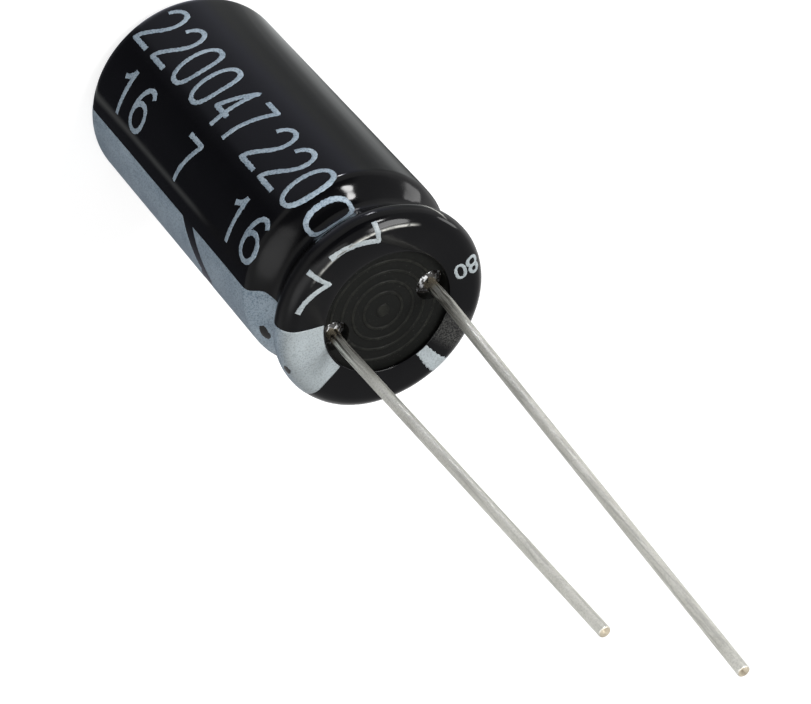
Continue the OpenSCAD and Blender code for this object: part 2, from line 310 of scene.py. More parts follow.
# %% [markdown]
# The film is drawn flat first, the way it is printed: u runs round the can, v runs from the head to the lead end,
# and w is the height above the film's outer face. One rule then shrinks anything flat onto the can.
# The rule needs the line that the film follows in section: over the head's corner, up the wall, into the groove,
# over the curled rim and in towards the middle. The sizes are those of the solids, in millimetres.
# The line could be cut out of the packed solid, but one worked out from a few sizes is smooth and easy to change.

# %% The line that the film follows
wall_r = 5.09
head_lip_r, head_corner = 3.71, 0.91
groove_z, groove_half, groove_depth = 18.61, 1.60, 0.89
rim_r, rim_z, rim_round = 4.34, 20.26, 0.75
base_lip_r, lip_sag = 3.11, 0.07
quarter = 24  # steps to a quarter turn


def outer_line():
    """Points (r, z) of the film's outer face, from the lip on the head to the lip on the base."""
    line = [(head_lip_r + i * 0.07, 0) for i in range(7)]
    for i in range(quarter + 1):
        a = math.radians(90 * i / quarter)
        line.append((wall_r - head_corner * (1 - math.sin(a)), head_corner * (1 - math.cos(a))))
    line += [(wall_r, head_corner + (groove_z - groove_half - head_corner) * i / 40) for i in range(1, 41)]
    for i in range(1, 2 * quarter + 1):
        dip = (1 - math.cos(math.tau * i / (2 * quarter))) / 2
        line.append((wall_r - groove_depth * dip, groove_z - groove_half + 2 * groove_half * i / (2 * quarter)))
    line.append((wall_r, (groove_z + groove_half + rim_z) / 2))
    for i in range(quarter + 1):
        a = math.radians(90 * i / quarter)
        line.append((rim_r + rim_round * math.cos(a), rim_z + rim_round * math.sin(a)))
    for i in range(1, quarter + 1):
        inward = i / quarter
        line.append((rim_r - (rim_r - base_lip_r) * inward, rim_z + rim_round - lip_sag * inward ** 3))
    return line


line = outer_line()
lengths = [0]
for (r0, z0), (r1, z1) in zip(line, line[1:]):
    lengths.append(lengths[-1] + math.hypot(r1 - r0, z1 - z0))
film_length = lengths[-1]
line_edges = [(i, i + 1) for i in range(len(line) - 1)]
film_line = new_mesh("film_line", [(r * MM, 0, z * MM) for r, z in line], [], line_edges)


def along(height):
    """v of the first place where the line passes this height, on the wall or above it."""
    for (r0, z0), (r1, z1), v0, v1 in zip(line, line[1:], lengths, lengths[1:]):
        if z0 <= height <= z1 and z1 > z0:
            return v0 + (v1 - v0) * (height - z0) / (z1 - z0)
    return film_length


def fold_at(radius):
    """v of the place on the folded base end that is this far from the axis."""
    return film_length - (radius - base_lip_r)


print(f"film line {film_length:.2f} mm long, {len(line)} points")

# %% [markdown]
# This is the rule. For a flat point it looks up the section line at length v, steps off it by w,
# and turns it round the axis by u. Shrunk film is never quite true, so the rule also adds a slow swell,
# stronger where the film was gathered over the rim, small crumples in the groove, a sharp crease on the fold, and
# an opening that sits off centre. The film could be sculpted, or shrunk by a cloth solver. A rule was chosen because
# film and print both go through it, so the ink stays on the film to a hundredth of a millimetre.

# %% The shrinking rule
swell_scale = 260
wall_swell, rim_swell = 0.010, 0.04
crumple_scale, crumple_swell = 700, 0.028
open_shift = 0.12
crease_height, crease_v, crease_w = 0.05, fold_at(4.58), 0.07
# Where each effect comes in or goes out: the crease by degrees round the can, the rest by v in millimetres.
crease_starts, crease_ends = (48, 62), (92, 140)
calm_head, gathering = (1.2, 2.4), (along(16.6), along(20))
crumpling, smoothing = (along(16.4), along(17.4)), (along(20), fold_at(4.9))
shifting = fold_at(4.3), film_length


def shrink(g, flat, line_object):
    """Wires for the place on the can of a flat point, all in metres."""
    u, v, w = g.split(flat)
    section = g.add("GeometryNodeObjectInfo", None, {"Object": line_object}, "Geometry")
    curve = g.add("GeometryNodeMeshToCurve", None, {"Mesh": section})
    sample = g.add("GeometryNodeSampleCurve", {"mode": "LENGTH"}, {"Curves": curve, "Length": v}, "Position")
    heading = Wire(g, sample.socket.node.outputs["Tangent"])
    r, _, z = g.split(sample)
    out_r, _, in_z = g.split(heading)
    turned = u / (wall_r * MM)
    cosine, sine = turned.math("COSINE", turned), turned.math("SINE", turned)
    where = g.join(r * cosine, r * sine, z)
    noise = g.noise(where, swell_scale, 1.5) - 0.5
    gathered = v.step_mm(*gathering)
    swell = noise * v.step_mm(*calm_head) * ((gathered * (rim_swell - wall_swell) + wall_swell) * 2 * MM)
    crumpled = v.step_mm(*crumpling) * (1 - v.step_mm(*smoothing))
    crumple = g.noise(where, crumple_scale, 1) - 0.5
    swell = swell + crumple * crumpled * (crumple_swell * 2 * MM)
    degrees = turned * math.degrees(1)
    crease_span = degrees.step(*crease_starts) * (1 - degrees.step(*crease_ends))
    across = (v - crease_v * MM) / (crease_w * MM)
    crease = across.math("EXPONENT", across * across * -1) * crease_span * (crease_height * MM)
    rise = w + swell + crease
    radius = r + in_z * rise
    height = z - out_r * rise
    slip = v.step_mm(*shifting) * (open_shift * MM)
    return g.join(radius * cosine + slip, radius * sine, height)


def node_piece(name, source, sizes, build, material):
    """Runs a Geometry Nodes tree on the source, or on an empty mesh, and keeps the result as a plain mesh."""
    tree = bpy.data.node_groups.new(name + "_rule", "GeometryNodeTree")
    tree.interface.new_socket("Geometry", in_out="INPUT", socket_type="NodeSocketGeometry")
    tree.interface.new_socket("Geometry", in_out="OUTPUT", socket_type="NodeSocketGeometry")
    kinds = {int: "NodeSocketInt", float: "NodeSocketFloat", bpy.types.Object: "NodeSocketObject"}
    keys = {}
    for label, value in sizes.items():
        keys[label] = tree.interface.new_socket(label, in_out="INPUT", socket_type=kinds[type(value)]).identifier
    g = Graph(tree)
    entry = tree.nodes.new("NodeGroupInput")
    given = {s.name: Wire(g, s) for s in entry.outputs if s.name}
    shape = build(g, given)
    real = g.add("GeometryNodeRealizeInstances", None, [shape])
    g.add("NodeGroupOutput", None, [g.add("GeometryNodeSetMaterial", None, {"Geometry": real, "Material": material})])
    worker = source or new_mesh(name + "_seed", [], [])
    modifier = worker.modifiers.new("rule", "NODES")
    modifier.node_group = tree
    for label, value in sizes.items():
        modifier[keys[label]] = value
    bpy.context.view_layer.update()
    mesh = bpy.data.meshes.new_from_object(worker.evaluated_get(bpy.context.evaluated_depsgraph_get()))
    worker.modifiers.remove(modifier)
    bpy.data.objects.remove(worker)
    mesh.name = name
    mesh.shade_smooth()
    piece = bpy.data.objects.new(name, mesh)
    bpy.context.scene.collection.objects.link(piece)
    print(f"{name}: {len(mesh.vertices)} points, {sum(len(p.vertices) - 2 for p in mesh.polygons)} triangles")
    return piece


# %% [markdown]
# The film is black plastic, glossy but soft, so it mirrors its surroundings a little unevenly.
# Its mirror is weak seen straight on and strong along the edges, which the specular level sets.
# A faint peel and a few rubbed patches keep the highlights from being perfectly clean. At the crease and on the rim
# beside it, on the lit side, thin white lines are painted highlights in the colour. A mottled paler patch lies on one
# side of the fold, and where the film was drawn into the groove its skin is rougher.
# A picture could carry all that. Noise in the part's own coordinates was chosen because it has no seam and no pixels.

# %% Film finish
def finish(name):
    """A new material, its graph, its Principled node's inputs and the Object coordinates."""
    material = bpy.data.materials.new(name)
    material.use_nodes = True
    g = Graph(material.node_tree)
    shader = material.node_tree.nodes["Principled BSDF"].inputs
    place = g.add("ShaderNodeTexCoord", None, (), "Object")
    return material, g, shader, place


def bump(g, shader, height, distance, strength):
    values = {"Strength": strength, "Distance": distance, "Height": height}
    g.put(shader["Normal"], g.add("ShaderNodeBump", None, values))


black_film, g, shader, place = finish("black_film")
rubbed = g.noise(place, 420, 3).step(0.45, 0.75)
peel = g.noise(place, 1500, 2)
x, y, z = g.split(place)
from_axis = (x * x + y * y) ** 0.5
azimuth = x.math("ARCTAN2", y, x) * math.degrees(1)


def ring_line(distance, width):
    """1 on a line and falling off softly over its width, for a distance in metres and a width in millimetres."""
    scaled = distance / (width * MM)
    return scaled.math("EXPONENT", scaled * scaled * -1)


# Painted highlights: a white line along the crease, and a short slanting one on the rim beside it.
crease_r = base_lip_r + film_length - crease_v
crease_highlight = ring_line(from_axis - crease_r * MM, 0.050) * z.step_mm(20.8, 20.95)
crease_highlight = crease_highlight * azimuth.step(54, 64) * (1 - azimuth.step(92, 100) * 0.45) * (1 - azimuth.step(118, 132))
rim_highlight_z, rim_highlight_az, rim_highlight_slope = 20.01, 51, 0.045
rim_highlight = ring_line(z - (rim_highlight_z + rim_highlight_az * rim_highlight_slope) * MM + azimuth * rim_highlight_slope * MM, 0.05)
rim_highlight = rim_highlight * from_axis.step_mm(4.9, 4.98) * azimuth.step(36, 42) * (1 - azimuth.step(52, 60))
highlight_breaks = g.noise(place, 3200, 3).step(0.22, 0.50)
# A mottled paler patch on the fold.
pale_fold_patch = azimuth.step(-60, -50) * (1 - azimuth.step(-38, -28)) * z.step_mm(20.8, 20.9)
pale_fold_patch = pale_fold_patch * g.noise(place, 13000, 3).step(0.25, 0.85) * 0.14
# Painted highlights on the crease and rim, with the paler patch on the fold added.
highlight_and_pale_patch = (crease_highlight + rim_highlight) * highlight_breaks + pale_fold_patch
tone = g.mix(rubbed, (0.0018, 0.0018, 0.0026), (0.0030, 0.0030, 0.0038))
g.put(shader["Base Color"], g.mix(highlight_and_pale_patch, tone, (0.62, 0.62, 0.58)))
# Less gloss and a coarser peel in the groove.
drawn_in = z.step_mm(16.6, 17.2) * (azimuth.step(105, 125) * 0.2 + 0.02)
g.put(shader["Roughness"], rubbed * 0.08 + drawn_in + 0.075)
shader["Specular IOR Level"].default_value = 0.2
neck = z.step_mm(16.8, 17.6) * (1 - z.step_mm(19.9, 20.4))
bump(g, shader, peel * (neck * 4 + 1), 0.002 * MM, 0.5)
print(black_film.name, "has", len(black_film.node_tree.nodes), "nodes")

# %% [markdown]
# The film itself is a closed sheet, a tenth of a millimetre thick, with round lips at both openings.
# Its section is a flat loop of points. A grid takes one row for each point and one column for each degree,
# and the rule shrinks the grid onto the can. The last row and column meet the first ones and are merged.
# A thickened copy of the solid would do as a plain film. The grid was chosen because it can be as fine as the
# crease and the crumples need, and coarse along the wall, where nothing happens.

# %% Film
film_t = 0.10
columns = 360
inner_coarser = 2.2
merge_within = 0.0004


def spread(first, last, step):
    count = max(1, round(abs(last - first) / step))
    return [first + (last - first) * i / count for i in range(count)]


def film_section():
    """The flat loop (v, w): the outer face, the base lip, the inner face and the head lip."""
    lip = film_t / 2
    # Each stretch starts at a v and has a spacing of its own.
    stretches = [(lip, 0.10), (0.49, 0.10), (1.92, 0.34), (along(16.3), 0.085), (crease_v - 0.2, 0.035),
                 (crease_v + 0.2, 0.10), (film_length - lip, 1)]
    pairs = list(zip(stretches, stretches[1:]))
    outer = [v for (a, step), (b, _) in pairs for v in spread(a, b, step)]
    inner = [v for (a, step), (b, _) in pairs for v in spread(a, b, step * inner_coarser)]
    round_lip = [math.radians(90 - 30 * i) for i in range(7)]
    loop = [(v, 0) for v in outer]
    loop += [(film_length - lip + lip * math.cos(a), lip * math.sin(a) - lip) for a in round_lip]
    loop += [(v, -film_t) for v in reversed(inner[1:])]
    loop += [(lip - lip * math.cos(a), -lip - lip * math.sin(a)) for a in round_lip[:-1]]
    return loop


section = film_section()
section_points = new_mesh("film_section", [(0, v * MM, w * MM) for v, w in section], [])


def build_film(g, given):
    rows = len(section)
    grid = g.add("GeometryNodeMeshGrid", None, {"Vertices X": given["Columns"] + 1, "Vertices Y": rows + 1})
    index = g.add("GeometryNodeInputIndex")
    column = (index / (rows + 1)).math("FLOOR", index / (rows + 1))
    row = index - column * (rows + 1)
    row = row.math("MODULO", row, rows)
    points = g.add("GeometryNodeObjectInfo", None, {"Object": given["Section"]}, "Geometry")
    here = g.add("GeometryNodeInputPosition")
    settings = {"data_type": "FLOAT_VECTOR"}
    taken = g.add("GeometryNodeSampleIndex", settings, {"Geometry": points, "Value": here, "Index": row})
    _, v, w = g.split(taken)
    u = column * (math.tau * wall_r * MM) / given["Columns"]
    place = shrink(g, g.join(u, v, w), given["Line"])
    shrunk = g.add("GeometryNodeSetPosition", None, {"Geometry": grid, "Position": place})
    return g.add("GeometryNodeMergeByDistance", None, {"Geometry": shrunk, "Distance": merge_within * MM})


film_sizes = {"Columns": columns, "Section": section_points, "Line": film_line}
film = node_piece("shrunk_film", None, film_sizes, build_film, black_film)
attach(film, "root")
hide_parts("sleeve")

# %% [markdown]
# The print is pale blue-grey ink, screened on before the film was shrunk. It is thin, a little less glossy than
# the film, and not quite solid: it has a fine grain, and here and there a speck where the black shows through.
# Over the fold it is painted paler and warmer, as painted light where the fold faces up into the lamps, and two
# chips are missing from it, in the groove and on the rim. All of it could be one flat tone. The grain was chosen
# because the eye takes it for printing.

# %% Ink finish
pale_ink, g, shader, place = finish("pale_ink")
cloud = g.noise(place, 900, 4)
grain = g.noise(place, 13000, 2)
specks = g.noise(place, 9000, 2).step(0.64, 0.74)
tone = g.mix(cloud.step(0.3, 0.7), (0.270, 0.360, 0.455), (0.415, 0.520, 0.615))
# Faint slanting streaks, then a fine grain, both paler and darker.
streak = g.add("ShaderNodeMapping", None, {"Vector": place, "Rotation": (0, 0.5, 0), "Scale": (1, 1, 0.15)})
streak = g.noise(streak, 7000, 2)
tone = g.mix(streak.step(0.55, 0.75) * 0.5, tone, (0.20, 0.25, 0.30))
tone = g.mix(grain.step(0.38, 0.62) * 0.55, tone, (0.50, 0.58, 0.64))
tone = g.mix((1 - grain.step(0.34, 0.5)) * 0.65, tone, (0.15, 0.21, 0.27))
x, y, z = g.split(place)
azimuth = x.math("ARCTAN2", y, x) * math.degrees(1)
ragged = g.noise(place, 3500, 2) * 1.4
chips = ((-173.5, 17.78, 5.5, 0.19), (-174, 20.62, 3.6, 0.15))  # azimuth, height, and half the size each way
chipped = 0
for at, high, wide, tall in chips:
    du, dz = (azimuth - at) / wide, (z - high * MM) / (tall * MM)
    chipped = 1 - (du * du + dz * dz + ragged).step(1.45, 1.65) + chipped
tone = g.mix(specks * 0.5, tone, (0.05, 0.06, 0.07))
# Painted light: the ink on the fold, which faces up, is made paler and warmer.
painted_fold_light = z.step_mm(20.3, 20.9)
tone = g.mix(painted_fold_light * 0.45, tone, (0.41, 0.40, 0.34))
g.put(shader["Base Color"], g.mix(chipped, tone, (0.003, 0.003, 0.004)))
g.put(shader["Roughness"], (cloud * 0.2 + 0.26 + specks * 0.1) * (1 - chipped * 0.7))
shader["Specular IOR Level"].default_value = 0.35
bump(g, shader, cloud, 0.002 * MM, 0.4)
print(pale_ink.name, "has", len(pale_ink.node_tree.nodes), "nodes")

# %% [markdown]
# The stripe marks the negative wire. It is a band of ink in two fields, parted by an arrow-shaped gap that
# points to the wires, and it runs from the head round the rim and over the folded end.
# Each field is drawn flat as a thin card, a grid with a top, a bottom and four edges, whose ends follow the arrow.
# The ink's edges are not ruled: they waver by a few hundredths, and bulge where the film was drawn into the groove.
# The stripe could be a second finish on the film's own faces. A card was chosen because its edge is free of the
# film's grid, and because the stripe is a node of its own in the solids.

# %% Flat cards of ink
random.seed(7)
ink_top, ink_foot = 0.010, -0.006
waver = [[random.uniform(-1, 1) for _ in range(12)] for _ in range(2)]


def wavering(side, t):
    """A slow random waver of an edge, for t from 0 to 1."""
    return sum(k * math.sin((i + 2) * 2.3 * t + 5 * k) for i, k in enumerate(waver[side])) / 12


def card(across, along_it, place):
    """Points and faces of a thin closed card; place(s, t) gives (u, v) in millimetres."""
    points = []
    for w in (ink_top, ink_foot):
        for j in range(along_it + 1):
            for i in range(across + 1):
                u, v = place(i / across, j / along_it)
                points.append((u * MM, v * MM, w * MM))
    row, layer = across + 1, (across + 1) * (along_it + 1)
    faces = []
    for j in range(along_it):
        for i in range(across):
            a = j * row + i
            faces.append((a, a + 1, a + 1 + row, a + row))
            faces.append((a + layer, a + layer + row, a + layer + row + 1, a + layer + 1))
    border = list(range(across)) + [across + j * row for j in range(along_it)]
    border += [layer - 1 - i for i in range(across)] + [(along_it - j) * row for j in range(along_it)]
    for a, b in zip(border, border[1:] + border[:1]):
        faces.append((b, a, a + layer, b + layer))
    return points, faces


def build_card(g, given):
    here = g.add("GeometryNodeInputPosition")
    place = shrink(g, here, given["Line"])
    return g.add("GeometryNodeSetPosition", None, {"Geometry": given["Geometry"], "Position": place})


stripe_az, stripe_half = 184, 2.16
stripe_u = math.radians(stripe_az) * wall_r
arrow_from, arrow_rise, arrow_gap = 10.75, 1.45, 1.05
field_ends = (0.22, film_length - 0.10)
waver_reach = 0.05
bulge_v, bulge_width, bulge_reach = along(17.9), 0.5, 0.24


def arrow(side):
    """v of the gap's lower edge, for side from -1 at the near edge of the stripe to 1 at the far one."""
    return along(arrow_from) + arrow_rise * (1 - abs(side))


def stripe_field(low, high):
    """The place of each point of a field that runs from low(side) to high(side)."""
    def place(s, t):
        side = 2 * s - 1
        v = low(side) + (high(side) - low(side)) * t
        off = wavering(side > 0, v / film_length) * waver_reach
        bulge = bulge_reach * math.exp(-((v - bulge_v) / bulge_width) ** 2)
        return stripe_u + side * (stripe_half + bulge) + off, v

    return place


fields = (
    stripe_field(lambda side: field_ends[0], arrow),
    stripe_field(lambda side: arrow(side) + arrow_gap, lambda side: field_ends[1]),
)
points, faces = [], []
for place_field, steps in zip(fields, (100, 150)):
    more, sides = card(40, steps, place_field)
    faces += [tuple(i + len(points) for i in face) for face in sides]
    points += more
stripe_blank = new_mesh("stripe_blank", points, faces)
stripe = node_piece("stripe_print", stripe_blank, {"Line": film_line}, build_card, pale_ink)
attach(stripe, "root")
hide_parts("polarity_stripe")

# %% [markdown]
# A short slanting bar of the same ink lies on the folded end, between the wires. In the photograph it is the end of
# a printed mark whose rest is out of sight, so here it stays a plain bar. It could be painted by the film's finish,
# but a card gives it the same thickness and edge as the stripe. Two waves of unlike lengths make its sides as
# ragged as the screen left them.

# %% A plain bar on the folded end
bar_az, bar_span, bar_skew, bar_rag = 288.4, 10.8, -4.6, 0.7
bar_ends = film_length - 2.13, film_length - 0.04


def bar_place(s, t):
    ragged = bar_rag * math.sin(t * 29 + s * 4) * math.sin(t * 71 + s)
    azimuth = bar_az + bar_span * s + bar_skew * t + ragged
    return math.radians(azimuth) * wall_r, bar_ends[0] + (bar_ends[1] - bar_ends[0]) * t


bar_blank = new_mesh("bar_blank", *card(8, 36, bar_place))
bar = node_piece("bar_print", bar_blank, {"Line": film_line}, build_card, pale_ink)
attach(bar, "root")

# %% [markdown]
# The photograph's part carries its maker's ratings. This one carries plain numbers in the same places,
# which name nothing. Each figure is a few pen strokes in a box one wide and one high, and a node tree draws them:
# a stroke becomes a curve, a flat pen is swept along it, a little wider here and thinner there, and the rule
# shrinks the lot onto the can with the film. Text objects could do it with a font. Strokes were chosen because the
# figures on such parts are drawn with one even line, and because a curve has points enough to bend with the film.

# %% Pen strokes of the figures
def bow(x, y, rx, ry, start, end, square=2.0, count=20):
    """Points of an arc from one angle to another; above 2, square makes it boxier."""
    points = []
    for i in range(count + 1):
        a = math.radians(start + (end - start) * i / count)
        c, s = math.cos(a), math.sin(a)
        across, up = (math.copysign(abs(k) ** (2 / square), k) for k in (c, s))
        points.append((x + rx * across, y + ry * up))
    return points


FIGURES = {
    "0": [bow(0.5, 0.5, 0.5, 0.5, 0, 360, 2.4, 40)],
    "1": [[(0.10, 0.77), (0.34, 0.83), (0.50, 0.92), (0.56, 1.03)], [(0.58, 1.04), (0.58, -0.04)]],
    "2": [bow(0.49, 0.71, 0.47, 0.29, 172, -28)
          + [(0.74, 0.44), (0.40, 0.26), (0.15, 0.12), (0.03, 0.0), (1.04, 0.0)]],
    "4": [[(0.72, -0.04), (0.72, 1.0), (0.0, 0.27), (1.04, 0.27)]],
    "6": [bow(0.5, 0.31, 0.48, 0.31, 0, 360, 2.1, 36), bow(0.58, 0.40, 0.56, 0.60, 186, 52)],
    "7": [[(-0.02, 1.0), (0.98, 1.0), (0.66, 0.60), (0.46, 0.28), (0.36, -0.04)]],
    "8": [bow(0.5, 0.76, 0.40, 0.24, 0, 360, 2.1, 32), bow(0.5, 0.27, 0.48, 0.27, 0, 360, 2.1, 36)],
}


def write(figure, baseline_az, v, width, height, into):
    """Adds a figure's strokes in flat millimetres: it reads along v, and its top points back round the can."""
    for stroke in FIGURES[figure]:
        first = len(into[0])
        closed = math.dist(stroke[0], stroke[-1]) < 1e-6
        stroke = stroke[:-1] if closed else stroke
        for x, y in stroke:
            into[0].append(((math.radians(baseline_az) * wall_r - y * height) * MM, (v + x * width) * MM, 0))
        last = len(into[0]) - 1
        into[1].extend((i, i + 1) for i in range(first, last))
        if closed:
            into[1].append((last, first))


def new_pen(name, width):
    """A flat pen with soft shoulders, a hundredth of a millimetre high, as a closed line; the sweep turns it over."""
    outline = [(-0.5, -0.006), (-0.5, 0.002), (-0.42, 0.008), (0, 0.011), (0.42, 0.008), (0.5, 0.002), (0.5, -0.006)]
    ring = [(i, (i + 1) % len(outline)) for i in range(len(outline))]
    return new_mesh(name, [(x * width * MM, -y * MM, 0) for x, y in outline], [], ring)


def build_strokes(g, given):
    curve = g.add("GeometryNodeMeshToCurve", None, {"Mesh": given["Geometry"]})
    even = g.add("GeometryNodeResampleCurve", {"mode": "LENGTH"}, {"Curve": curve, "Length": given["Step"]})
    level = g.add("GeometryNodeSetCurveNormal", {"mode": "Z_UP"}, {"Curve": even})
    tip = g.add("GeometryNodeObjectInfo", None, {"Object": given["Pen"]}, "Geometry")
    tip = g.add("GeometryNodeMeshToCurve", None, {"Mesh": tip})
    here = g.add("GeometryNodeInputPosition")
    uneven = g.noise(here, 8000, 1) - 0.5
    values = {"Curve": level, "Profile Curve": tip, "Scale": uneven * given["Raggedness"] + 1, "Fill Caps": True}
    swept = g.add("GeometryNodeCurveToMesh", None, values)
    return g.add("GeometryNodeSetPosition", None, {"Geometry": swept, "Position": shrink(g, here, given["Line"])})


print(len(FIGURES), "figures of", sum(len(strokes) for strokes in FIGURES.values()), "strokes")

# %% [markdown]
# The figures stand in two lines along the can, big ones and smaller ones, with one more small pair on the fold.
# The last big run on the wall goes through the groove, and each line ends with one figure on the fold.
# They could be placed one by one, but a run with a start and a pitch keeps them in line, as the screen did.

# %% Figures on the wall and over the rim
broad_pen, fine_pen = new_pen("broad_pen", 0.26), new_pen("fine_pen", 0.18)
# The azimuth of the baseline, the pitch, and each figure's width and height.
upper, lower = (110.8, 1.90, 1.25, 2.60), (147.0, 1.85, 1.20, 2.15)
runs = {
    "figures_print": (broad_pen, [
        ("2200", along(1.05), upper),
        ("47", along(8.7), (110.8, 1.62, 1.05, 2.60)),
        ("2200", along(12.45), (110.8, 1.82, 1.25, 2.60)),
        ("7", fold_at(5.05), (110.8, 1, 0.95, 2.55)),
        ("16", along(2.35), lower),
        ("7", along(8.9), lower),
        ("16", along(14.1), lower),
        ("7", fold_at(5.05), (147.0, 1, 1.25, 2.0)),
    ]),
    "small_figures_print": (fine_pen, [("80", fold_at(4.78), (8.5, 0.70, 0.50, 0.95))]),
}
for name, (pen, texts) in runs.items():
    strokes = ([], [])
    for text, v, (baseline, pitch, width, height) in texts:
        for i, figure in enumerate(text):
            write(figure, baseline, v + i * pitch, width, height, strokes)
    blank = new_mesh(name + "_blank", strokes[0], [], strokes[1])
    sizes = {"Step": 0.05 * MM, "Raggedness": 0.85, "Pen": pen, "Line": film_line}
    figures = node_piece(name, blank, sizes, build_strokes, pale_ink)
    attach(figures, "root")

# %% [markdown]
# The wires are copper-clad steel with a matt coat of tin. Drawing leaves fine lines along them, handling leaves
# brighter patches, and the cutter leaves an end that shows the copper under the tin. Near the can the wire has darker
# streaks, and the weld is painted nearly black as the shade deep in the seal's hole, but for a few bare flecks. One
# even metal could do. The long noise was chosen because it gives the lines their direction, and the height in the
# part places the darker stretch and the painted shade.

# %% Wire finish
tinned_wire, g, shader, place = finish("tinned_wire")
stretch = g.add("ShaderNodeMapping", None, {"Vector": place, "Scale": (1, 1, 0.04)})
drawn = g.noise(stretch, 9000, 3)
patch = g.noise(place, 500, 4)
cut = g.add("ShaderNodeAttribute", {"attribute_name": "cut"}, (), "Fac")
_, _, height = g.split(place)
near_weld = 1 - height.step_mm(20.75, 21.3)
# Handled patches, bright and dark lines from drawing, and a fine grain.
tin = g.mix(patch.step(0.25, 0.75), (0.78, 0.775, 0.71), (0.92, 0.915, 0.85))
tin = g.mix(drawn.step(0.5, 0.8) * 0.6, tin, (0.92, 0.91, 0.85))
tin = g.mix((1 - drawn.step(0.36, 0.5)) * 0.35, tin, (0.34, 0.34, 0.32))
grain = g.noise(place, 14000, 2)
tin = g.mix(grain.step(0.42, 0.65) * 0.32, tin, (0.42, 0.42, 0.38))
# Darker streaks near the can, and painted shade on the weld, in the seal's hole and just above it: nearly black with
# a few bare flecks.
darker_near_can = (1 - height.step_mm(21.2, 25.5)) * drawn.step(0.44, 0.54) * 0.9
tin = g.mix(darker_near_can, tin, (0.045, 0.040, 0.034))
scale = g.noise(place, 2600, 3)
tin = g.mix(near_weld, tin, g.mix(scale.step(0.43, 0.53), (0.020, 0.016, 0.012), (0.80, 0.70, 0.52)))
g.put(shader["Base Color"], g.mix(cut, tin, (0.70, 0.62, 0.48)))
g.put(shader["Roughness"], (1 - near_weld) * 0.22 + drawn * 0.14 + 0.16)
g.put(shader["Metallic"], cut * -0.3 + 0.85)
bump(g, shader, drawn + patch * 2, 0.004 * MM, 0.6)
print(tinned_wire.name, "has", len(tinned_wire.node_tree.nodes), "nodes")

# %% [markdown]
# A wire is a path with its own girth at each point: wide and lumpy where it is welded to the tab's stem, bent
# softly as it leaves the seal, straight from there, and rounded off at the cut. The path's places come from the
# record's mounts, so that the wires end where the solids' wires end. A bent cylinder could do, but a circle swept
# along a path takes the weld, the bend and the cut in one piece, and its normals give the dents their direction.

# %% Wires
mounts = {mount["name"]: mount for mount in frame["record"]["mounts"]}
stem_top, foot_x, bend_from = 20.12, 2.5, 21.6
wire_sides, wire_step = 28, 0.12
# Heights above the stem's top and girths up the weld, then distances back from the tip, girths and cut marks.
# The last two rows close the cut face.
weld_girths = ((0, 0), (0, 1.3), (0.03, 1.62), (0.09, 1.72), (0.15, 1.66), (0.20, 1.50), (0.25, 1.32), (0.31, 1.18),
               (0.38, 1.10), (0.46, 1.04), (0.56, 1.0), (0.8, 1), (1.1, 1))
cut_girths = ((0.085, 1, 0), (0.05, 0.985, 0), (0.025, 0.95, 0.1), (0.008, 0.88, 0.6), (0.0, 0.76, 1),
              (-0.004, 0.4, 1), (-0.002, 0, 1))
end_round = 0.012


def wire_path(name):
    """Points, girths and cut marks of a wire, in millimetres, from its weld to its tip."""
    mount = mounts[name]
    middle, way = Vector(mount["pos_m"]) / MM, Vector(mount["axis"]).normalized()
    half = mount["dims"]["length_mm"] / 2
    start, tip = middle - way * half, middle + way * (half - end_round)
    foot = Vector((math.copysign(foot_x, middle.x), 0, 0))
    path = []
    for z, girth in weld_girths:
        path.append((foot + Vector((0, 0, stem_top + z)), girth, 0))
    low = foot + Vector((0, 0, bend_from))
    reach = (start.z - bend_from) / 2
    for i in range(9):
        t = i / 8
        curve = (low, low + Vector((0, 0, reach)), start - way * reach, start)
        weights = ((1 - t) ** 3, 3 * t * (1 - t) ** 2, 3 * t * t * (1 - t), t ** 3)
        path.append((sum((p * k for p, k in zip(curve, weights)), Vector()), 1, 0))
    count = round(2 * half / wire_step)
    for i in range(1, count - 1):
        path.append((start.lerp(tip, i / count), 1, 0))
    for back, girth, cut in cut_girths:
        path.append((tip - way * back, girth, cut))
    return path


def build_wire(g, given):
    girth = g.add("GeometryNodeInputNamedAttribute", {"data_type": "FLOAT"}, {"Name": "girth"}, "Attribute")
    curve = g.add("GeometryNodeMeshToCurve", None, {"Mesh": given["Geometry"]})
    ring = g.add("GeometryNodeCurvePrimitiveCircle", None, {"Resolution": given["Sides"], "Radius": given["Radius"]})
    values = {"Curve": curve, "Profile Curve": ring, "Scale": girth.math("MAXIMUM", girth, 0.001)}
    swept = g.add("GeometryNodeCurveToMesh", None, values)
    here = g.add("GeometryNodeInputPosition")
    normal = g.add("GeometryNodeInputNormal")
    _, _, z = g.split(here)
    weld = 1 - z.step_mm(20.35, 20.7)
    lumps = g.noise(here, 2600, 2) - 0.5
    dents = g.noise(here, 700, 2) - 0.5
    push = lumps * weld * given["Weld lumps"] + dents * given["Dents"]
    offset = g.add("ShaderNodeVectorMath", {"operation": "SCALE"}, {"Vector": normal, "Scale": push})
    moved = g.add("GeometryNodeSetPosition", None, {"Geometry": swept, "Offset": offset})
    return g.add("GeometryNodeMergeByDistance", None, {"Geometry": moved, "Distance": 0.001 * MM})


for name, body in (("positive_lead", "long_wire"), ("negative_lead", "short_wire")):
    path = wire_path(name)
    blank = new_mesh(body + "_path", [p * MM for p, _, _ in path], [], [(i, i + 1) for i in range(len(path) - 1)])
    for attribute, k in (("girth", 1), ("cut", 2)):
        blank.data.attributes.new(attribute, "FLOAT", "POINT").data.foreach_set("value", [row[k] for row in path])
    radius = mounts[name]["dims"]["r_mm"] * MM
    sizes = {"Sides": wire_sides, "Radius": radius, "Weld lumps": 0.35 * MM, "Dents": 0.010 * MM}
    wire = node_piece(body, blank, sizes, build_wire, tinned_wire)
    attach(wire, "root")
    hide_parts(name)
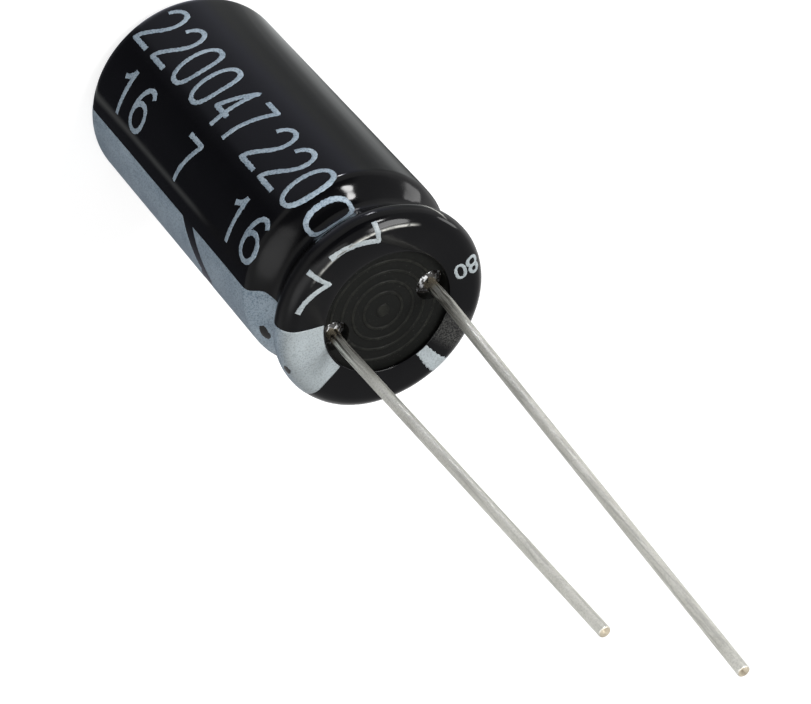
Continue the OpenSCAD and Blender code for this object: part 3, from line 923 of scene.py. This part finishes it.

# %% [markdown]
# The seal is black rubber, pressed in a mould that left a button and four faint rings in its face.
# Rubber is matt, and where it stands proud it is a little shinier. The rings are in the
# solid already, and could be left to the light. It is so soft here that they would hardly show, so the finish finds
# what stands proud by its height and paints it paler, a painted highlight on the rings.

# %% Seal finish
seal_rubber, g, shader, place = finish("seal_rubber")
_, _, z = g.split(place)
grain = g.noise(place, 3000, 4)
dust = g.noise(place, 12000, 1).step(0.68, 0.76)
# What stands proud: painted paler below, as a painted highlight, and a little shinier.
raised_ring_highlight = z.step_mm(20.665, 20.69)
tone = g.mix(grain, (0.0035, 0.0038, 0.0033), (0.0065, 0.0070, 0.0060))
tone = g.mix(raised_ring_highlight * grain.step(0.25, 0.75), tone, (0.017, 0.0175, 0.014))
g.put(shader["Base Color"], g.mix(dust * 0.35, tone, (0.10, 0.10, 0.09)))
g.put(shader["Roughness"], 0.62 - raised_ring_highlight * 0.16)
shader["Specular IOR Level"].default_value = 0.15
bump(g, shader, grain, 0.006 * MM, 0.7)
print(seal_rubber.name, "has", len(seal_rubber.node_tree.nodes), "nodes")

# %% [markdown]
# The can is deep-drawn aluminium. Its bare head shows the fine rings of the press tool, and a score
# cut into it lets it open safely. Inside are the etched foils, the papers that keep them apart and the tape.
# Nothing of them is seen, but each has its own finish for whoever takes the model apart. Each could have a tree of
# its own. Two recipes, one for metal and one for fibre, were chosen because they differ only in tone and grain.

# %% Metal and inner finishes
def metal(name, low, high, roughness, scale, stretch=(1, 1, 1), hole_shade_from=1):
    """A metal whose tone and gloss vary with a grain, stretched along an axis where it was rolled or drawn.

    Above the given height, in metres, it is painted nearly black as shade deep in the seal's holes, but for a few
    bare flecks.
    """
    material, g, shader, place = finish(name)
    grain = g.add("ShaderNodeMapping", None, {"Vector": place, "Scale": stretch})
    grain = g.noise(grain, scale, 4)
    _, _, z = g.split(place)
    flecks = g.noise(place, 5000, 2).step(0.52, 0.60)
    hole_shade = z.step(hole_shade_from, hole_shade_from + 0.1 * MM) * (1 - flecks)
    g.put(shader["Base Color"], g.mix(hole_shade, g.mix(grain, low, high), (0.012, 0.010, 0.008)))
    g.put(shader["Roughness"], grain * 0.2 + roughness + hole_shade * 0.2)
    g.put(shader["Metallic"], 1 - hole_shade)
    bump(g, shader, grain, 0.004 * MM, 0.5)
    return material


def fibre(name, low, high, scale, stretch):
    """Matt paper or tape, with fibres or a weave stretched along an axis."""
    material, g, shader, place = finish(name)
    strands = g.add("ShaderNodeMapping", None, {"Vector": place, "Scale": stretch})
    strands = g.noise(strands, scale, 5)
    g.put(shader["Base Color"], g.mix(strands.step(0.3, 0.7), low, high))
    g.put(shader["Roughness"], strands * 0.2 + 0.7)
    bump(g, shader, strands, 0.010 * MM, 0.6)
    return material


drawn_metal, g, shader, place = finish("drawn_aluminium")
x, y, z = g.split(place)
from_axis = (x * x + y * y) ** 0.5
rings = g.noise(g.join(from_axis, z, 0), 9000, 3)
soft = g.noise(place, 700, 4)
g.put(shader["Base Color"], g.mix(rings * 0.6 + soft * 0.4, (0.60, 0.61, 0.62), (0.84, 0.85, 0.86)))
g.put(shader["Roughness"], rings * 0.16 + soft * 0.12 + 0.2)
shader["Metallic"].default_value = 1
bump(g, shader, rings, 0.004 * MM, 0.7)

finishes = {
    "seal": seal_rubber,
    "case": drawn_metal,
    # The stems' tops, deep in the seal's holes, get painted shade, nearly black.
    "positive_tab": metal("tab_aluminium", (0.55, 0.56, 0.57), (0.82, 0.83, 0.84), 0.25, 4000, (1, 1, 0.1),
                          19.9 * MM),
    "anode_foil": metal("etched_foil", (0.22, 0.22, 0.21), (0.36, 0.36, 0.34), 0.55, 9000),
    "cathode_foil": metal("cathode_foil_metal", (0.42, 0.43, 0.43), (0.60, 0.61, 0.62), 0.4, 7000),
    "inner_separator": fibre("separator_paper", (0.50, 0.40, 0.26), (0.68, 0.58, 0.42), 5000, (1, 1, 0.3)),
    "closing_tape": fibre("winding_tape", (0.42, 0.26, 0.12), (0.55, 0.36, 0.18), 2500, (1, 1, 0.2)),
}
finishes["negative_tab"] = finishes["positive_tab"]
finishes["outer_separator"] = finishes["inner_separator"]
for node, material in finishes.items():
    mesh = frame["nodes"][node].data
    if not mesh.materials:
        mesh.materials.append(material)
    for i in range(len(mesh.materials)):
        mesh.materials[i] = material
print("finishes given to", ", ".join(finishes))

# %% Sizes, and the end
for helper in (film_line, section_points, broad_pen, fine_pen):
    bpy.data.objects.remove(helper)
sizes = {"cad": cad_box, "visual": [list(corner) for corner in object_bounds()]}
print(json.dumps(sizes))
